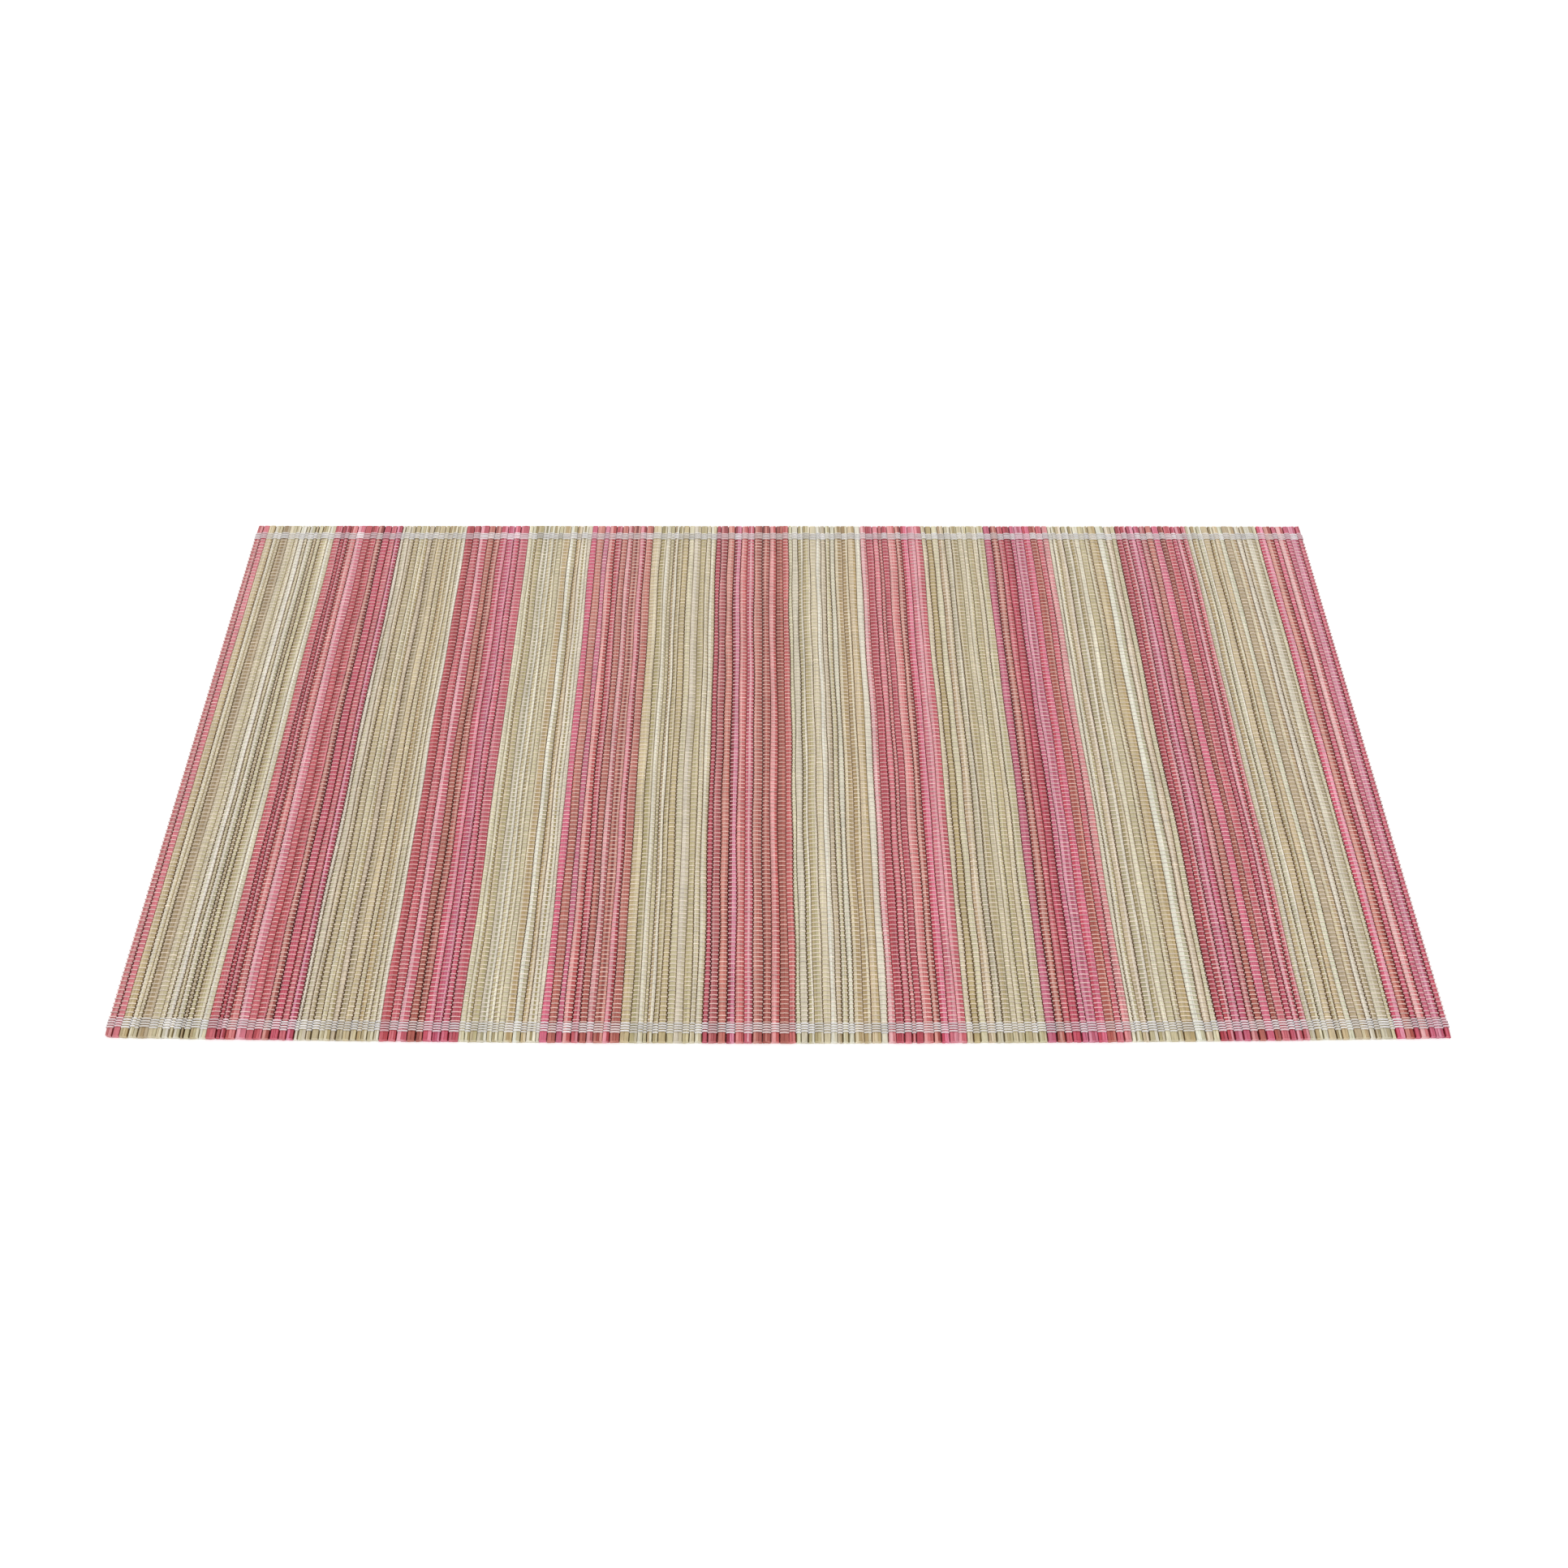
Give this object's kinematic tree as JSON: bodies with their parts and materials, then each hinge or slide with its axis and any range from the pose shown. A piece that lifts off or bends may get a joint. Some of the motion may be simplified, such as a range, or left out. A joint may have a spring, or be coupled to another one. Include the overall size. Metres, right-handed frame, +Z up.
{
  "type": "bamboo placemat",
  "caption": "Rectangular placemat of bamboo splints in rose and natural stripes, held by fine threads and a white binding band at the front and back edge. Lies flat on a table.",
  "frame": {"origin": "on the table surface, under the middle of the mat", "axes": "+X along the mat, across its stripes; +Y from its front edge to its back edge, along the splints; +Z up"},
  "size_m": [0.45, 0.3026, 0.0019],
  "materials": {
    "dyed_bamboo": "split bamboo dyed rose, satin",
    "natural_bamboo": "split bamboo left natural, satin",
    "cotton_thread": "twisted cotton, matt"
  },
  "bodies": {
    "root": {"rose_splints_1": "dyed_bamboo", "natural_splints_1": "natural_bamboo", "rose_splints_2": "dyed_bamboo", "natural_splints_2": "natural_bamboo", "rose_splints_3": "dyed_bamboo", "natural_splints_3": "natural_bamboo", "rose_splints_4": "dyed_bamboo", "natural_splints_4": "natural_bamboo", "rose_splints_5": "dyed_bamboo", "natural_splints_5": "natural_bamboo", "rose_splints_6": "dyed_bamboo", "natural_splints_6": "natural_bamboo", "rose_splints_7": "dyed_bamboo", "natural_splints_7": "natural_bamboo", "rose_splints_8": "dyed_bamboo", "natural_splints_8": "natural_bamboo", "rose_splints_9": "dyed_bamboo", "front_thread_above_1": "cotton_thread", "front_thread_above_2": "cotton_thread", "front_thread_above_3": "cotton_thread", "front_thread_above_4": "cotton_thread", "front_thread_below_1": "cotton_thread", "front_thread_below_2": "cotton_thread", "front_thread_below_3": "cotton_thread", "front_thread_below_4": "cotton_thread", "back_thread_above_1": "cotton_thread", "back_thread_above_2": "cotton_thread", "back_thread_above_3": "cotton_thread", "back_thread_above_4": "cotton_thread", "back_thread_below_1": "cotton_thread", "back_thread_below_2": "cotton_thread", "back_thread_below_3": "cotton_thread", "back_thread_below_4": "cotton_thread"}
  },
  "joints": []
}
